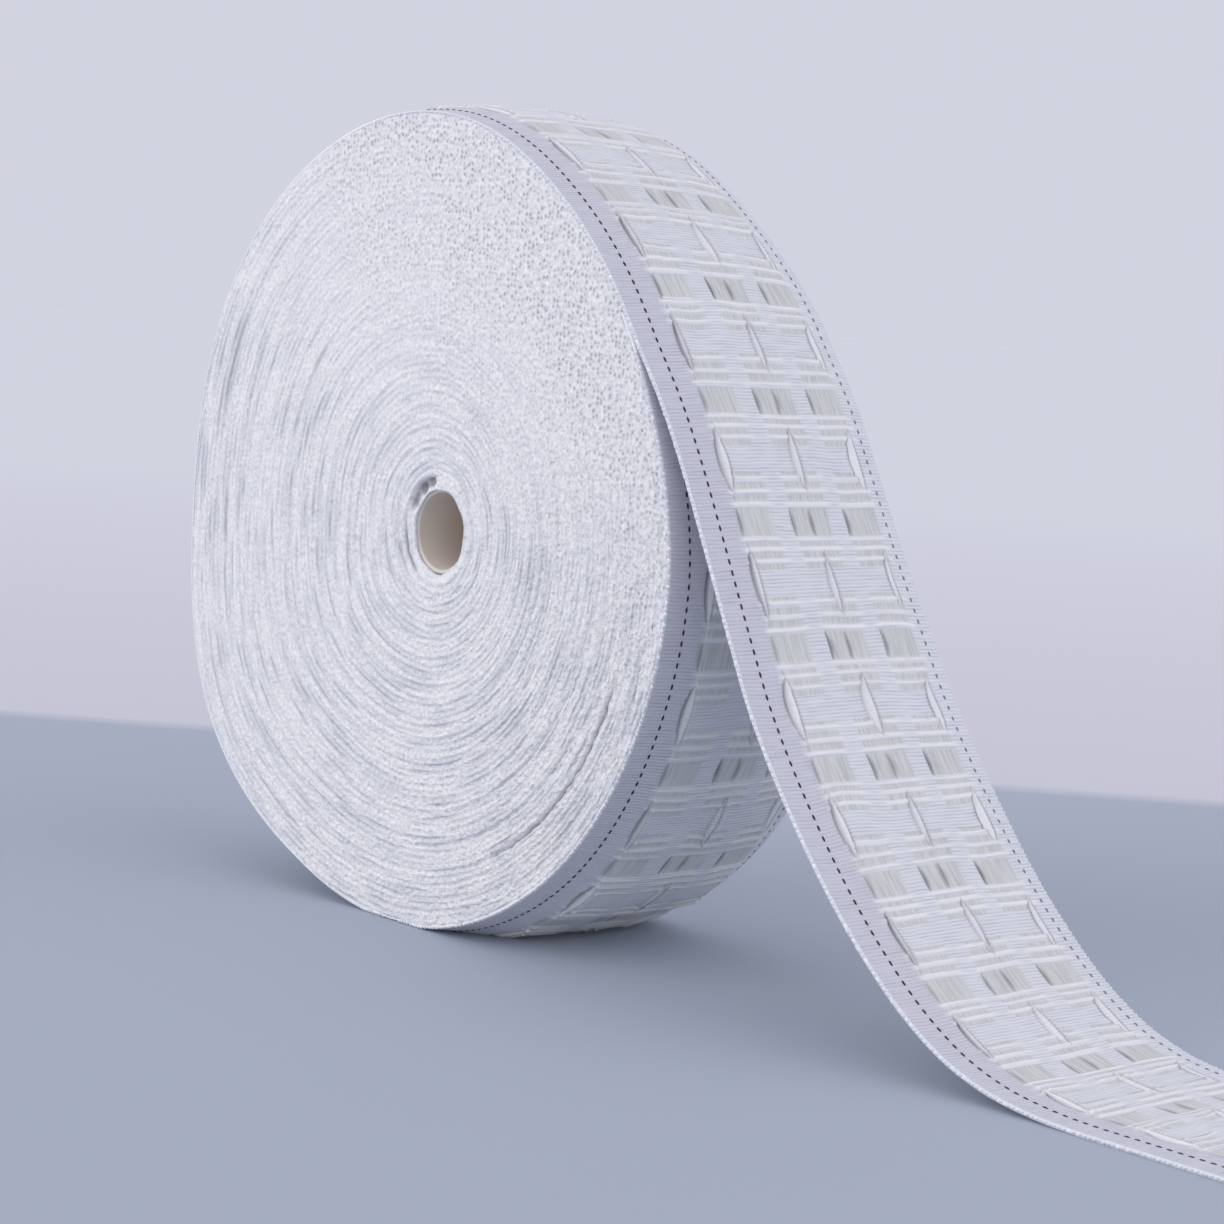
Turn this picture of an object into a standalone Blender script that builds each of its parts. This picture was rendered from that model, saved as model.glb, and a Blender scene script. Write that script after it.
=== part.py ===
"""Roll of curtain heading tape, in metres, +Z up.

One long woven tape is wound on a thin paper core. The roll stands on its edge with the core's axis along Y
and its front face towards -Y. The tape's free end leaves the roll on the +X side, falls in a soft curve and
lies out flat. The origin is the middle of the small flat spot that the roll stands on.
"""
import bisect
import math
from collections import namedtuple

import bmesh
import bpy

# The tape as it is woven.
TAPE_WIDTH = 0.075
TAPE_THICKNESS = 0.0012
POCKET_RISE = 0.0006

# The gap kept between pieces that touch.
CLEARANCE = 0.0003

# The paper core and its place over the flat spot.
CORE_INNER_RADIUS = 0.0115
CORE_WALL = 0.0012
CORE_LENGTH = 0.0744
CORE_STEPS = 48
AXIS_X = 0.0095
AXIS_Z = 0.1195

# The free end leaves the roll at this angle above +X, about the core's axis.
LEAVE_ANGLE = 40.0
STEP_ANGLE = 0.15
STEP_DEPTH = TAPE_THICKNESS + CLEARANCE
STEP_FULL_ANGLE = 18.0
STEP_FADE_ANGLE = 24.0
LOOSE_START = 0.0006

# Rows of woven squares: the first one lies this far above the leaving line. Rows are ROW_PITCH apart, a
# little closer on the roll, and the drawn cords bring them closer still towards the free end.
FIRST_ROW = -0.0082
ROW_PITCH = 0.0376
ROW_PITCH_ON_ROLL = 0.0370
ROW_DRAW = 0.00036
ROWS_ON_ROLL = 22
ROWS_LOOSE = 11

OutlinePoint = namedtuple("OutlinePoint", "angle front far crown")
HangPoint = namedtuple("HangPoint", "x z lead crown")
WeavePoint = namedtuple("WeavePoint", "share rise")
BandPoint = namedtuple("BandPoint", "share crown rise")
FaceRing = namedtuple("FaceRing", "share front far")

# The roll's uneven outline: its radius from the core's axis on the front face and on the far face, and how far
# the thicker middle of the wound tape stands above both edges.
OUTLINE = (
    OutlinePoint(0, 0.1048, 0.1054, 0.0014),
    OutlinePoint(30, 0.1044, 0.1042, 0.0018),
    OutlinePoint(60, 0.1104, 0.1070, 0.0022),
    OutlinePoint(90, 0.1219, 0.1211, 0.0025),
    OutlinePoint(120, 0.1303, 0.1314, 0.0025),
    OutlinePoint(150, 0.1359, 0.1350, 0.0022),
    OutlinePoint(180, 0.1358, 0.1362, 0.0020),
    OutlinePoint(210, 0.1410, 0.1402, 0.0022),
    OutlinePoint(240, 0.1283, 0.1272, 0.0022),
    OutlinePoint(270, 0.1192, 0.1196, 0.0044),
    OutlinePoint(300, 0.1112, 0.1130, 0.0050),
    OutlinePoint(330, 0.1062, 0.1050, 0.0024),
)

# The free end's path at the front edge, how far its far edge runs ahead along X, and its middle's rise.
HANG = (
    HangPoint(0.0966, 0.1786, -0.0004, 0.0018),
    HangPoint(0.1078, 0.1630, -0.0012, 0.0016),
    HangPoint(0.1176, 0.1464, -0.0022, 0.0014),
    HangPoint(0.1284, 0.1252, -0.0018, 0.0012),
    HangPoint(0.1402, 0.1012, 0.0002, 0.0010),
    HangPoint(0.1502, 0.0824, 0.0016, 0.0008),
    HangPoint(0.1648, 0.0617, 0.0020, 0.0007),
    HangPoint(0.1838, 0.0396, 0.0016, 0.0006),
    HangPoint(0.2036, 0.0216, 0.0012, 0.0004),
    HangPoint(0.2206, 0.0106, 0.0008, 0.0002),
    HangPoint(0.2360, 0.0048, 0.0004, 0.0000),
    HangPoint(0.2520, 0.0021, 0.0000, 0.0000),
    HangPoint(0.2700, 0.0012, 0.0000, 0.0000),
    HangPoint(0.3000, 0.0012, 0.0000, 0.0000),
    HangPoint(0.3450, 0.0012, 0.0000, 0.0000),
)

# Height of the woven pockets along one repeat, as a share of the repeat from the middle of its squares.
WEAVE = (
    WeavePoint(0.00, 0.0),
    WeavePoint(0.11, 0.0),
    WeavePoint(0.25, 0.7),
    WeavePoint(0.50, 1.0),
    WeavePoint(0.74, 0.7),
    WeavePoint(0.89, 0.0),
)

# Across the tape, from its front edge to its far edge: shares of the middle's rise and of the pockets'
# height. The pockets make two bands that open at slits, one beside each band and one between them.
BANDS = (
    BandPoint(0.000, 0.00, 0.0),
    BandPoint(0.030, 0.05, 0.0),
    BandPoint(0.100, 0.30, 0.0),
    BandPoint(0.185, 0.80, 0.0),
    BandPoint(0.205, 0.86, 1.0),
    BandPoint(0.345, 1.00, 1.1),
    BandPoint(0.450, 1.00, 1.0),
    BandPoint(0.545, 1.00, 0.9),
    BandPoint(0.560, 1.00, 0.1),
    BandPoint(0.575, 1.00, 0.9),
    BandPoint(0.640, 1.00, 1.0),
    BandPoint(0.725, 0.97, 1.1),
    BandPoint(0.868, 0.76, 0.9),
    BandPoint(0.890, 0.66, 0.0),
    BandPoint(0.950, 0.28, 0.0),
    BandPoint(1.000, 0.00, 0.0),
)

# How far the wound edges stand proud of the tape's plain width, from the core (0) to the rim (1).
FACE_RINGS = (
    FaceRing(0.00, 0.0000, 0.0000),
    FaceRing(0.05, 0.0002, 0.0001),
    FaceRing(0.18, 0.0003, 0.0003),
    FaceRing(0.40, 0.0000, 0.0002),
    FaceRing(0.62, 0.0003, -0.0001),
    FaceRing(0.82, -0.0003, 0.0002),
    FaceRing(0.94, 0.0002, 0.0001),
)


def clear_scene():
    for old in list(bpy.data.objects):
        bpy.data.objects.remove(old)


def linear(hex_colour):
    """An sRGB hex colour as linear RGBA."""
    channels = [int(hex_colour[i:i + 2], 16) / 255 for i in (0, 2, 4)]
    return [c / 12.92 if c <= 0.04045 else ((c + 0.055) / 1.055) ** 2.4 for c in channels] + [1.0]


def material(name, hex_colour, roughness):
    finish = bpy.data.materials.new(name)
    finish.use_nodes = True
    shader = finish.node_tree.nodes["Principled BSDF"]
    shader.inputs["Base Color"].default_value = linear(hex_colour)
    shader.inputs["Roughness"].default_value = roughness
    shader.inputs["Metallic"].default_value = 0.0
    return finish


def curve_through(before, start, end, after, share):
    """One coordinate of a smooth curve between two points, shaped by their outer neighbours."""
    slope_start = (end - before) / 2
    slope_end = (after - start) / 2
    square, cube = share ** 2, share ** 3
    return ((2 * cube - 3 * square + 1) * start + (cube - 2 * square + share) * slope_start
            + (3 * square - 2 * cube) * end + (cube - square) * slope_end)


def outline_radius(angle, band):
    """The roll's radius at an angle in degrees, at one point across the tape."""
    count = len(OUTLINE)
    step = 360 / count
    index = int(math.floor(angle / step))
    share = angle / step - index
    rows = [OUTLINE[(index + offset) % count] for offset in (-1, 0, 1, 2)]
    front, far, crown = [curve_through(*[row[i] for row in rows], share) for i in (1, 2, 3)]
    return front + band.share * (far - front) + band.crown * crown


def row_place(row):
    """How far down the tape from the leaving line the middle of a row of squares lies."""
    if row > 0:
        return FIRST_ROW + ROW_PITCH * row - ROW_DRAW * row ** 2
    return FIRST_ROW + ROW_PITCH_ON_ROLL * row


def weave_stations(first_row, last_row):
    """Places along the tape where the weave's height changes, each with its pocket height."""
    stations = []
    for row in range(first_row, last_row):
        start, end = row_place(row), row_place(row + 1)
        stations += [(start + point.share * (end - start), point.rise) for point in WEAVE]
    return stations


def clip_stations(stations, low, high):
    """The stations inside a stretch of tape, with one more at each of its ends."""
    kept = [station for station in stations if low + 0.001 < station[0] < high - 0.001]
    before = [station for station in stations if station[0] <= low + 0.001] or kept
    after = [station for station in stations if station[0] >= high - 0.001] or kept
    return [(low, before[-1][1])] + kept + [(high, after[0][1])]


def loft(name, sections, ring, finish, collection):
    """A closed body through sections of as many points each, joined end to end or capped at both ends."""
    mesh = bmesh.new()
    rows = [[mesh.verts.new(point) for point in section] for section in sections]
    size = len(rows[0])
    pairs = list(zip(rows, rows[1:]))
    if ring:
        pairs.append((rows[-1], rows[0]))
    for row, following in pairs:
        for i in range(size):
            j = (i + 1) % size
            mesh.faces.new((row[i], row[j], following[j], following[i]))
    if not ring:
        for row in (rows[0], rows[-1]):
            for i in range(size // 2 - 1):
                mesh.faces.new((row[i], row[i + 1], row[size - 2 - i], row[size - 1 - i]))
    bmesh.ops.recalc_face_normals(mesh, faces=mesh.faces)
    data = bpy.data.meshes.new(name)
    mesh.to_mesh(data)
    mesh.free()
    data.shade_smooth()
    data.set_sharp_from_angle(angle=math.radians(40))
    data.materials.append(finish)
    body = bpy.data.objects.new(name, data)
    collection.objects.link(body)
    return body


def roll_angles(steps):
    """Angles round the roll from the leaving line, over the top and back, with the tape wound off by then."""
    angles = [LEAVE_ANGLE + (360 - STEP_ANGLE) * i / steps for i in range(steps + 1)]
    lengths = [0.0]
    last = None
    for angle in angles:
        radius = outline_radius(angle, BANDS[len(BANDS) // 2])
        point = (radius * math.cos(math.radians(angle)), radius * math.sin(math.radians(angle)))
        if last:
            lengths.append(lengths[-1] + math.dist(last, point))
        last = point
    return angles, lengths


def roll_section(angle, pocket):
    """The wound body cut at one angle: front face from the core to the rim, the rim, and the far face."""
    turned = angle - LEAVE_ANGLE
    fade = 1 - (360 - STEP_ANGLE - turned - STEP_FULL_ANGLE) / STEP_FADE_ANGLE
    fade = min(max(fade, 0.0), 1.0)
    depth = STEP_DEPTH * fade
    bore = CORE_INNER_RADIUS + CORE_WALL + CLEARANCE
    half = TAPE_WIDTH / 2
    rim = []
    for band in BANDS:
        rise = POCKET_RISE * pocket * band.rise * (1 - fade)
        rim.append((outline_radius(angle, band) - depth + rise, -half + band.share * TAPE_WIDTH))
    front = []
    far = []
    for ring in FACE_RINGS:
        front.append((bore + ring.share * (rim[0][0] - bore), -half - ring.front))
        far.append((bore + ring.share * (rim[-1][0] - bore), half + ring.far))
    turn = math.radians(angle)
    points = []
    for radius, y in front + rim + far[::-1]:
        points.append((AXIS_X + radius * math.cos(turn), y, max(AXIS_Z + radius * math.sin(turn), 0.0)))
    return points


def make_roll(finish, collection):
    angles, lengths = roll_angles(1440)
    stations = clip_stations(weave_stations(-ROWS_ON_ROLL, 1), -lengths[-1], 0.0)
    sections = []
    for place, pocket in reversed(stations):
        index = min(max(bisect.bisect_right(lengths, -place), 1), len(lengths) - 1)
        share = (-place - lengths[index - 1]) / (lengths[index] - lengths[index - 1])
        angle = angles[index - 1] + share * (angles[index] - angles[index - 1])
        sections.append(roll_section(angle, pocket))
    return loft("roll", sections, True, finish, collection)


def hang_path(steps):
    """Fine points down the free end's path from the leaving line, each after its length along the path."""
    start = []
    for angle in (LEAVE_ANGLE + 10, LEAVE_ANGLE):
        radius = outline_radius(angle, BANDS[0])
        turn = math.radians(angle)
        x, z = AXIS_X + radius * math.cos(turn), AXIS_Z + radius * math.sin(turn)
        start.append(HangPoint(x, z, 0.0, HANG[0].crown))
    rows = start + list(HANG)
    rows.append(HANG[-1]._replace(x=2 * HANG[-1].x - HANG[-2].x))
    path = [(0.0,) + tuple(rows[1])]
    for quad in zip(rows, rows[1:], rows[2:], rows[3:]):
        for i in range(1, steps + 1):
            point = [curve_through(*column, i / steps) for column in zip(*quad)]
            length = path[-1][0] + math.dist(point[:2], path[-1][1:3])
            path.append((length, *point))
    return path


def loose_section(path, place, pocket):
    """The free end cut across its width: its patterned side from front to far edge, and its plain back."""
    lengths = [point[0] for point in path]
    index = min(max(bisect.bisect_right(lengths, place), 1), len(path) - 1)
    low, high = path[index - 1], path[index]
    share = (place - low[0]) / (high[0] - low[0])
    x, z, lead, crown = [low[i] + share * (high[i] - low[i]) for i in (1, 2, 3, 4)]
    along = math.atan2(high[2] - low[2], high[1] - low[1])
    normal = (-math.sin(along), math.cos(along))
    patterned = []
    plain = []
    for band in BANDS:
        y = (band.share - 0.5) * TAPE_WIDTH
        top = crown * band.crown + POCKET_RISE * pocket * band.rise
        bottom = crown * band.crown - TAPE_THICKNESS
        led_x = x + lead * band.share
        patterned.append((led_x + normal[0] * top, y, z + normal[1] * top))
        plain.append((led_x + normal[0] * bottom, y, max(z + normal[1] * bottom, 0.0)))
    return patterned + plain[::-1]


def make_loose_end(finish, collection):
    path = hang_path(40)
    stations = clip_stations(weave_stations(0, ROWS_LOOSE), LOOSE_START, path[-1][0])
    sections = [loose_section(path, place, pocket) for place, pocket in stations]
    return loft("loose_end", sections, False, finish, collection)


def make_core(finish, collection):
    """A thin paper tube, turned from its wall's section."""
    outer = CORE_INNER_RADIUS + CORE_WALL
    half = CORE_LENGTH / 2
    corners = ((outer, half), (outer, -half), (CORE_INNER_RADIUS, -half), (CORE_INNER_RADIUS, half))
    data = bpy.data.meshes.new("core")
    data.from_pydata([(radius, 0, z) for radius, z in corners], [(0, 1), (1, 2), (2, 3), (3, 0)], [])
    data.materials.append(finish)
    core = bpy.data.objects.new("core", data)
    core.location = (AXIS_X, 0, AXIS_Z)
    core.rotation_euler = (math.radians(90), 0, 0)
    screw = core.modifiers.new("turned", "SCREW")
    screw.axis = "Z"
    screw.steps = CORE_STEPS
    screw.render_steps = CORE_STEPS
    screw.use_merge_vertices = True
    screw.merge_threshold = 0.00001
    screw.use_smooth_shade = False
    collection.objects.link(core)
    return core


clear_scene()
parts = bpy.data.collections.new("curtain_heading_tape_roll")
bpy.context.scene.collection.children.link(parts)
woven_white = material("woven white polyester", "D6D8E2", 0.85)
grey_paper = material("grey paperboard", "8C857A", 0.8)
make_roll(woven_white, parts)
make_loose_end(woven_white.copy(), parts)
make_core(grey_paper, parts)
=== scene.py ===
"""The looks of a roll of woven curtain heading tape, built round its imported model, in metres, +Z up.

The roll stands on its edge with its front face towards -Y, and its loose end falls towards +X and lies out
flat. Places on the tape are given by how far down the tape they lie from the line where it leaves the roll
(below zero on the roll itself) and by their share of the tape's width, from its front edge to its far edge.
"""
import math
from collections import namedtuple

import bmesh
import bpy
import numpy as np
from mathutils import Matrix, Vector


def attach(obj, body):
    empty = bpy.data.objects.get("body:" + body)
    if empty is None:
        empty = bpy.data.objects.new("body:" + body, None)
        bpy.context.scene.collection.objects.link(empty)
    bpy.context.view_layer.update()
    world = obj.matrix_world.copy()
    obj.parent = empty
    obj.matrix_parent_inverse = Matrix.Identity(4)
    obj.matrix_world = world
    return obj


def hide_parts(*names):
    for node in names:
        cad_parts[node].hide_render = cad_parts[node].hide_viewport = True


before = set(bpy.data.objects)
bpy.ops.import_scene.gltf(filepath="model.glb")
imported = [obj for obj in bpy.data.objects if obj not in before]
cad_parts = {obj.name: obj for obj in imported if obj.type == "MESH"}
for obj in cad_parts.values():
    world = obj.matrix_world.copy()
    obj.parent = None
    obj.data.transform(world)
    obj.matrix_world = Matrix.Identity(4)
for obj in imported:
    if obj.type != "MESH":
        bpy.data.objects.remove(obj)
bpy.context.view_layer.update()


# The loose end
# The tape's free end and the piece of the outermost turn that runs into it: one woven polyester sheet. It
# comes over the top of the roll, leaves it in front and falls in a soft curve to the surface. Its pockets are
# woven as a second layer, raised in two bands between slits, with rows of squares of long floating threads.

MM = 0.001
TAPE_WIDTH = 75 * MM
TAPE_THICKNESS = 1.2 * MM
AXIS_X = 9.5 * MM
AXIS_Z = 119.5 * MM
LEAVE_ANGLE = 40
STEP_DEPTH = 1.25 * MM
STEP_FULL_ANGLE = 18
STEP_FADE_ANGLE = 24
ROLL_ANGLES = np.arange(LEAVE_ANGLE + 366, LEAVE_ANGLE - 0.1, -0.25)

OutlinePoint = namedtuple("OutlinePoint", "front far crown")
HangPoint = namedtuple("HangPoint", "x z lead crown")

# The roll's outline every 30 degrees from +X: radius in mm at the front face and the far face, and how far
# the thicker middle stands above both.
OUTLINE = (
    OutlinePoint(104.8, 105.4, 1.4),
    OutlinePoint(104.4, 104.2, 1.8),
    OutlinePoint(110.4, 107.0, 2.2),
    OutlinePoint(121.9, 121.1, 2.5),
    OutlinePoint(130.3, 131.4, 2.5),
    OutlinePoint(135.9, 135.0, 2.2),
    OutlinePoint(135.8, 136.2, 2.0),
    OutlinePoint(141.0, 140.2, 2.2),
    OutlinePoint(128.3, 127.2, 2.2),
    OutlinePoint(119.2, 119.6, 4.4),
    OutlinePoint(111.2, 113.0, 5.0),
    OutlinePoint(106.2, 105.0, 2.4),
)

# The free end's path at its front edge, in mm, how far its far edge runs ahead, and its middle's rise.
HANG = (
    HangPoint(96.6, 178.6, -0.4, 1.8),
    HangPoint(107.8, 163.0, -1.2, 1.6),
    HangPoint(117.6, 146.4, -2.2, 1.4),
    HangPoint(128.4, 125.2, -1.8, 1.2),
    HangPoint(140.2, 101.2, 0.2, 1.0),
    HangPoint(150.2, 82.4, 1.6, 0.8),
    HangPoint(164.8, 61.7, 2.0, 0.7),
    HangPoint(183.8, 39.6, 1.6, 0.6),
    HangPoint(203.6, 21.6, 1.2, 0.4),
    HangPoint(220.6, 10.6, 0.8, 0.2),
    HangPoint(236.0, 4.8, 0.4, 0.0),
    HangPoint(252.0, 2.1, 0.0, 0.0),
    HangPoint(270.0, 1.2, 0.0, 0.0),
    HangPoint(300.0, 1.2, 0.0, 0.0),
    HangPoint(345.0, 1.2, 0.0, 0.0),
)

# The middle's rise across the tape, as shares of the width and of the rise.
CROWN_SHARES = (0, 0.03, 0.10, 0.185, 0.205, 0.345, 0.64, 0.725, 0.868, 0.89, 0.95, 1)
CROWN_RISES = (0, 0.05, 0.30, 0.80, 0.86, 1.00, 1.00, 0.97, 0.76, 0.66, 0.28, 0)


def smooth_between(rows, places, closed):
    """Values on a smooth curve through a table's rows, at places counted in rows."""
    rows = np.array(rows, float)
    index = np.floor(places).astype(int)
    share = (places - index)[:, None]
    if closed:
        near = [rows[(index + offset) % len(rows)] for offset in (-1, 0, 1, 2)]
    else:
        near = [rows[np.clip(index + offset, 0, len(rows) - 1)] for offset in (-1, 0, 1, 2)]
    before, start, end, after = near
    square, cube = share ** 2, share ** 3
    return ((2 * cube - 3 * square + 1) * start + (cube - 2 * square + share) * (end - before) / 2
            + (3 * square - 2 * cube) * end + (cube - square) * (after - start) / 2)


def outline_at(angles):
    """Front radius, far radius and the middle's rise, in metres, at angles in degrees."""
    return smooth_between(OUTLINE, np.asarray(angles) / 30, True).T * MM


def step_depth(angles):
    """How far the outermost turn lies under the leaving tape, at angles past the leaving line."""
    left = LEAVE_ANGLE + 360 - np.asarray(angles)
    return STEP_DEPTH * np.clip(1 - (left - STEP_FULL_ANGLE) / STEP_FADE_ANGLE, 0, 1)


def lengths_along(x, z):
    return np.concatenate([[0], np.cumsum(np.hypot(np.diff(x), np.diff(z)))])


def tape_route():
    """Fine points along the whole outermost turn and loose end, as columns of one table."""
    front, far, crown = outline_at(ROLL_ANGLES)
    turn = np.radians(ROLL_ANGLES)
    depth = step_depth(ROLL_ANGLES)
    middle = (front + far) / 2 + crown
    length = lengths_along(middle * np.cos(turn), middle * np.sin(turn))
    roll = np.stack([length - length[-1], AXIS_X + (front - depth) * np.cos(turn),
                     AXIS_Z + (front - depth) * np.sin(turn), (far - front) * np.cos(turn),
                     (far - front) * np.sin(turn), crown])
    start = HangPoint(roll[1, -1] / MM, roll[2, -1] / MM, 0, HANG[0].crown)
    before = HangPoint(roll[1, -40] / MM, roll[2, -40] / MM, 0, HANG[0].crown)
    rows = [before, start] + list(HANG)
    x, z, lead, crown = smooth_between(rows, np.arange(1, len(rows) - 0.99, 0.02), False).T * MM
    length = lengths_along(x, z)
    settled = np.exp(-length / 0.02)
    loose = np.stack([length, x, z, lead + settled * roll[3, -1], settled * roll[4, -1], crown])
    return np.concatenate([roll[:, :-1], loose], axis=1)


ROUTE = tape_route()
TANGENT_X = np.gradient(ROUTE[1], ROUTE[0])
TANGENT_Z = np.gradient(ROUTE[2], ROUTE[0])
ROLL_START = ROUTE[0, 0]
TAPE_END = ROUTE[0, -1]


def on_tape(place, share, height):
    """Points at places along the tape, shares of its width and heights above its plain surface. Nothing goes
    below the floor: the loose end lies on it with its whole thickness, and the roll stands on it."""
    x, z, far_x, far_z, crown = [np.interp(place, ROUTE[0], ROUTE[i]) for i in (1, 2, 3, 4, 5)]
    tangent_x, tangent_z = np.interp(place, ROUTE[0], TANGENT_X), np.interp(place, ROUTE[0], TANGENT_Z)
    size = np.hypot(tangent_x, tangent_z)
    lift = height + crown * np.interp(share, CROWN_SHARES, CROWN_RISES)
    points_x = x + share * far_x - tangent_z / size * lift
    points_z = z + share * far_z + tangent_x / size * lift
    lowest = np.where(tangent_x > 0, TAPE_THICKNESS + height, np.maximum(-height, 0))
    return np.stack([points_x, (share - 0.5) * TAPE_WIDTH + 0 * place, np.maximum(points_z, lowest)], -1)


# Rows of squares every 37 mm or so, a little closer along the drawn loose end.
FIRST_ROW = -7.1 * MM
ROW_PITCH_LOOSE = 37.6 * MM
ROW_DRAW = 0.36 * MM
ROW_PITCH_ROLL = 37.33 * MM
ROW_NUMBERS = np.arange(-24, 13)
ROW_PLACES = FIRST_ROW + np.where(ROW_NUMBERS > 0,
                                  ROW_PITCH_LOOSE * ROW_NUMBERS - ROW_DRAW * ROW_NUMBERS ** 2,
                                  ROW_PITCH_ROLL * ROW_NUMBERS)

# Along one repeat, in shares of it from the middle of its squares; and the three columns across the width.
SQUARE_HALF = 0.1125
CROSS_CORDS = (0.135, 0.2225, 0.315, 0.6475, 0.755, 0.855)
CROSS_CORD_WIDTH = 0.0165
FLOAT_STRIPS = ((0.158, 0.202), (0.243, 0.297), (0.333, 0.377),
                (0.598, 0.628), (0.678, 0.737), (0.778, 0.837))
COLUMNS = ((0.184, 0.348), (0.448, 0.639), (0.723, 0.894))
SQUARE_SEAMS = (0.187, 0.451, 0.547, 0.727)

# The slits into the pockets, with how their two borders bow apart, in mm. Each row of pockets has its own,
# and no two are alike: the near border bows towards the front edge, the other stays almost straight. Each of
# the three columns has its own lips, depth and place of the shade.
SLIT_LINES = (14.4, 41.7, 66.15)
SLIT_START = 0.228
SLIT_END = 0.77
SLIT_BASE = 0.5
SLIT_REACH = 5.0
NEAR_LIPS = (0.35, 0.8, 0.3)
FAR_LIPS = (1.0, 1.0, 0.35)
SLIT_FLOORS = (1.0, 1.0, 0.5)
SHADES_ON_LIP = (0.22, 0.05, -0.45)
slit_luck = np.random.default_rng(11)
SLIT_NEAR_BOWS = slit_luck.uniform(1.2, 3.0, (len(ROW_NUMBERS), 3)) * (0.75, 0.9, 1.15)
SLIT_FAR_BOWS = slit_luck.uniform(0.2, 1.3, (len(ROW_NUMBERS), 3))
SLIT_SKEWS = slit_luck.uniform(0.75, 1.3, (len(ROW_NUMBERS), 3))
SEAM_BOWS = slit_luck.uniform(-0.2, 0.9, (len(ROW_NUMBERS), 4))
SEAM_DEPTHS = slit_luck.uniform(0.7, 1.0, (len(ROW_NUMBERS), 4)) * (0.7, 1.0, 0.85, 1.0)


def soft_box(values, low, high, soft):
    """1 between low and high, 0 outside, with soft sides."""
    up = np.clip((values - low) / soft + 0.5, 0, 1)
    down = np.clip((high - values) / soft + 0.5, 0, 1)
    return up * up * (3 - 2 * up) * down * down * (3 - 2 * down)


def soft_step(values):
    values = np.clip(values, 0, 1)
    return values * values * (3 - 2 * values)


# The cloth's own unevenness: tables of chance values for its puffs and bends, and how strongly each cord
# shows. The cords are weaker in the last rows, which lie on the floor.
PUFF_CELLS = 400
FLAT_ROWS_FROM = 8
cloth_luck = np.random.default_rng(8)
PUFFS = cloth_luck.normal(0, 1, (PUFF_CELLS, 14))
BENDS = cloth_luck.normal(0, 1, (PUFF_CELLS, 8))
CORD_STRENGTHS = cloth_luck.uniform(0.6, 1.1, (len(ROW_NUMBERS), len(CROSS_CORDS)))
CORD_STRENGTHS = CORD_STRENGTHS * np.where(ROW_NUMBERS >= FLAT_ROWS_FROM, 0.6, 1.0)[:, None]


def cloth_field(values, place, along_cell, across, across_cell):
    """A smooth uneven field over the cloth, from a table of chance values a cell apart."""
    u = (place - ROW_PLACES[0]) / along_cell
    v = across / across_cell + 0.5
    i, j = np.clip(np.floor(u).astype(int), 0, PUFF_CELLS - 2), np.clip(np.floor(v).astype(int), 0, 100)
    j = np.minimum(j, values.shape[1] - 2)
    s, t = soft_step(u - i), soft_step(v - j)
    near = values[i, j] * (1 - s) + values[i + 1, j] * s
    far = values[i, j + 1] * (1 - s) + values[i + 1, j + 1] * s
    return near * (1 - t) + far * t


def bent_place(place, across):
    """Where a place on the tape's rows lies once the loosely woven rows have bowed, up to about 0.8 mm."""
    fade = np.clip((TAPE_END - place) / 0.02, 0, 1) * np.clip((place - ROLL_START) / 0.02, 0, 1)
    return place + 0.32 * MM * fade * cloth_field(BENDS, place, 17 * MM, across, 13)


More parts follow.
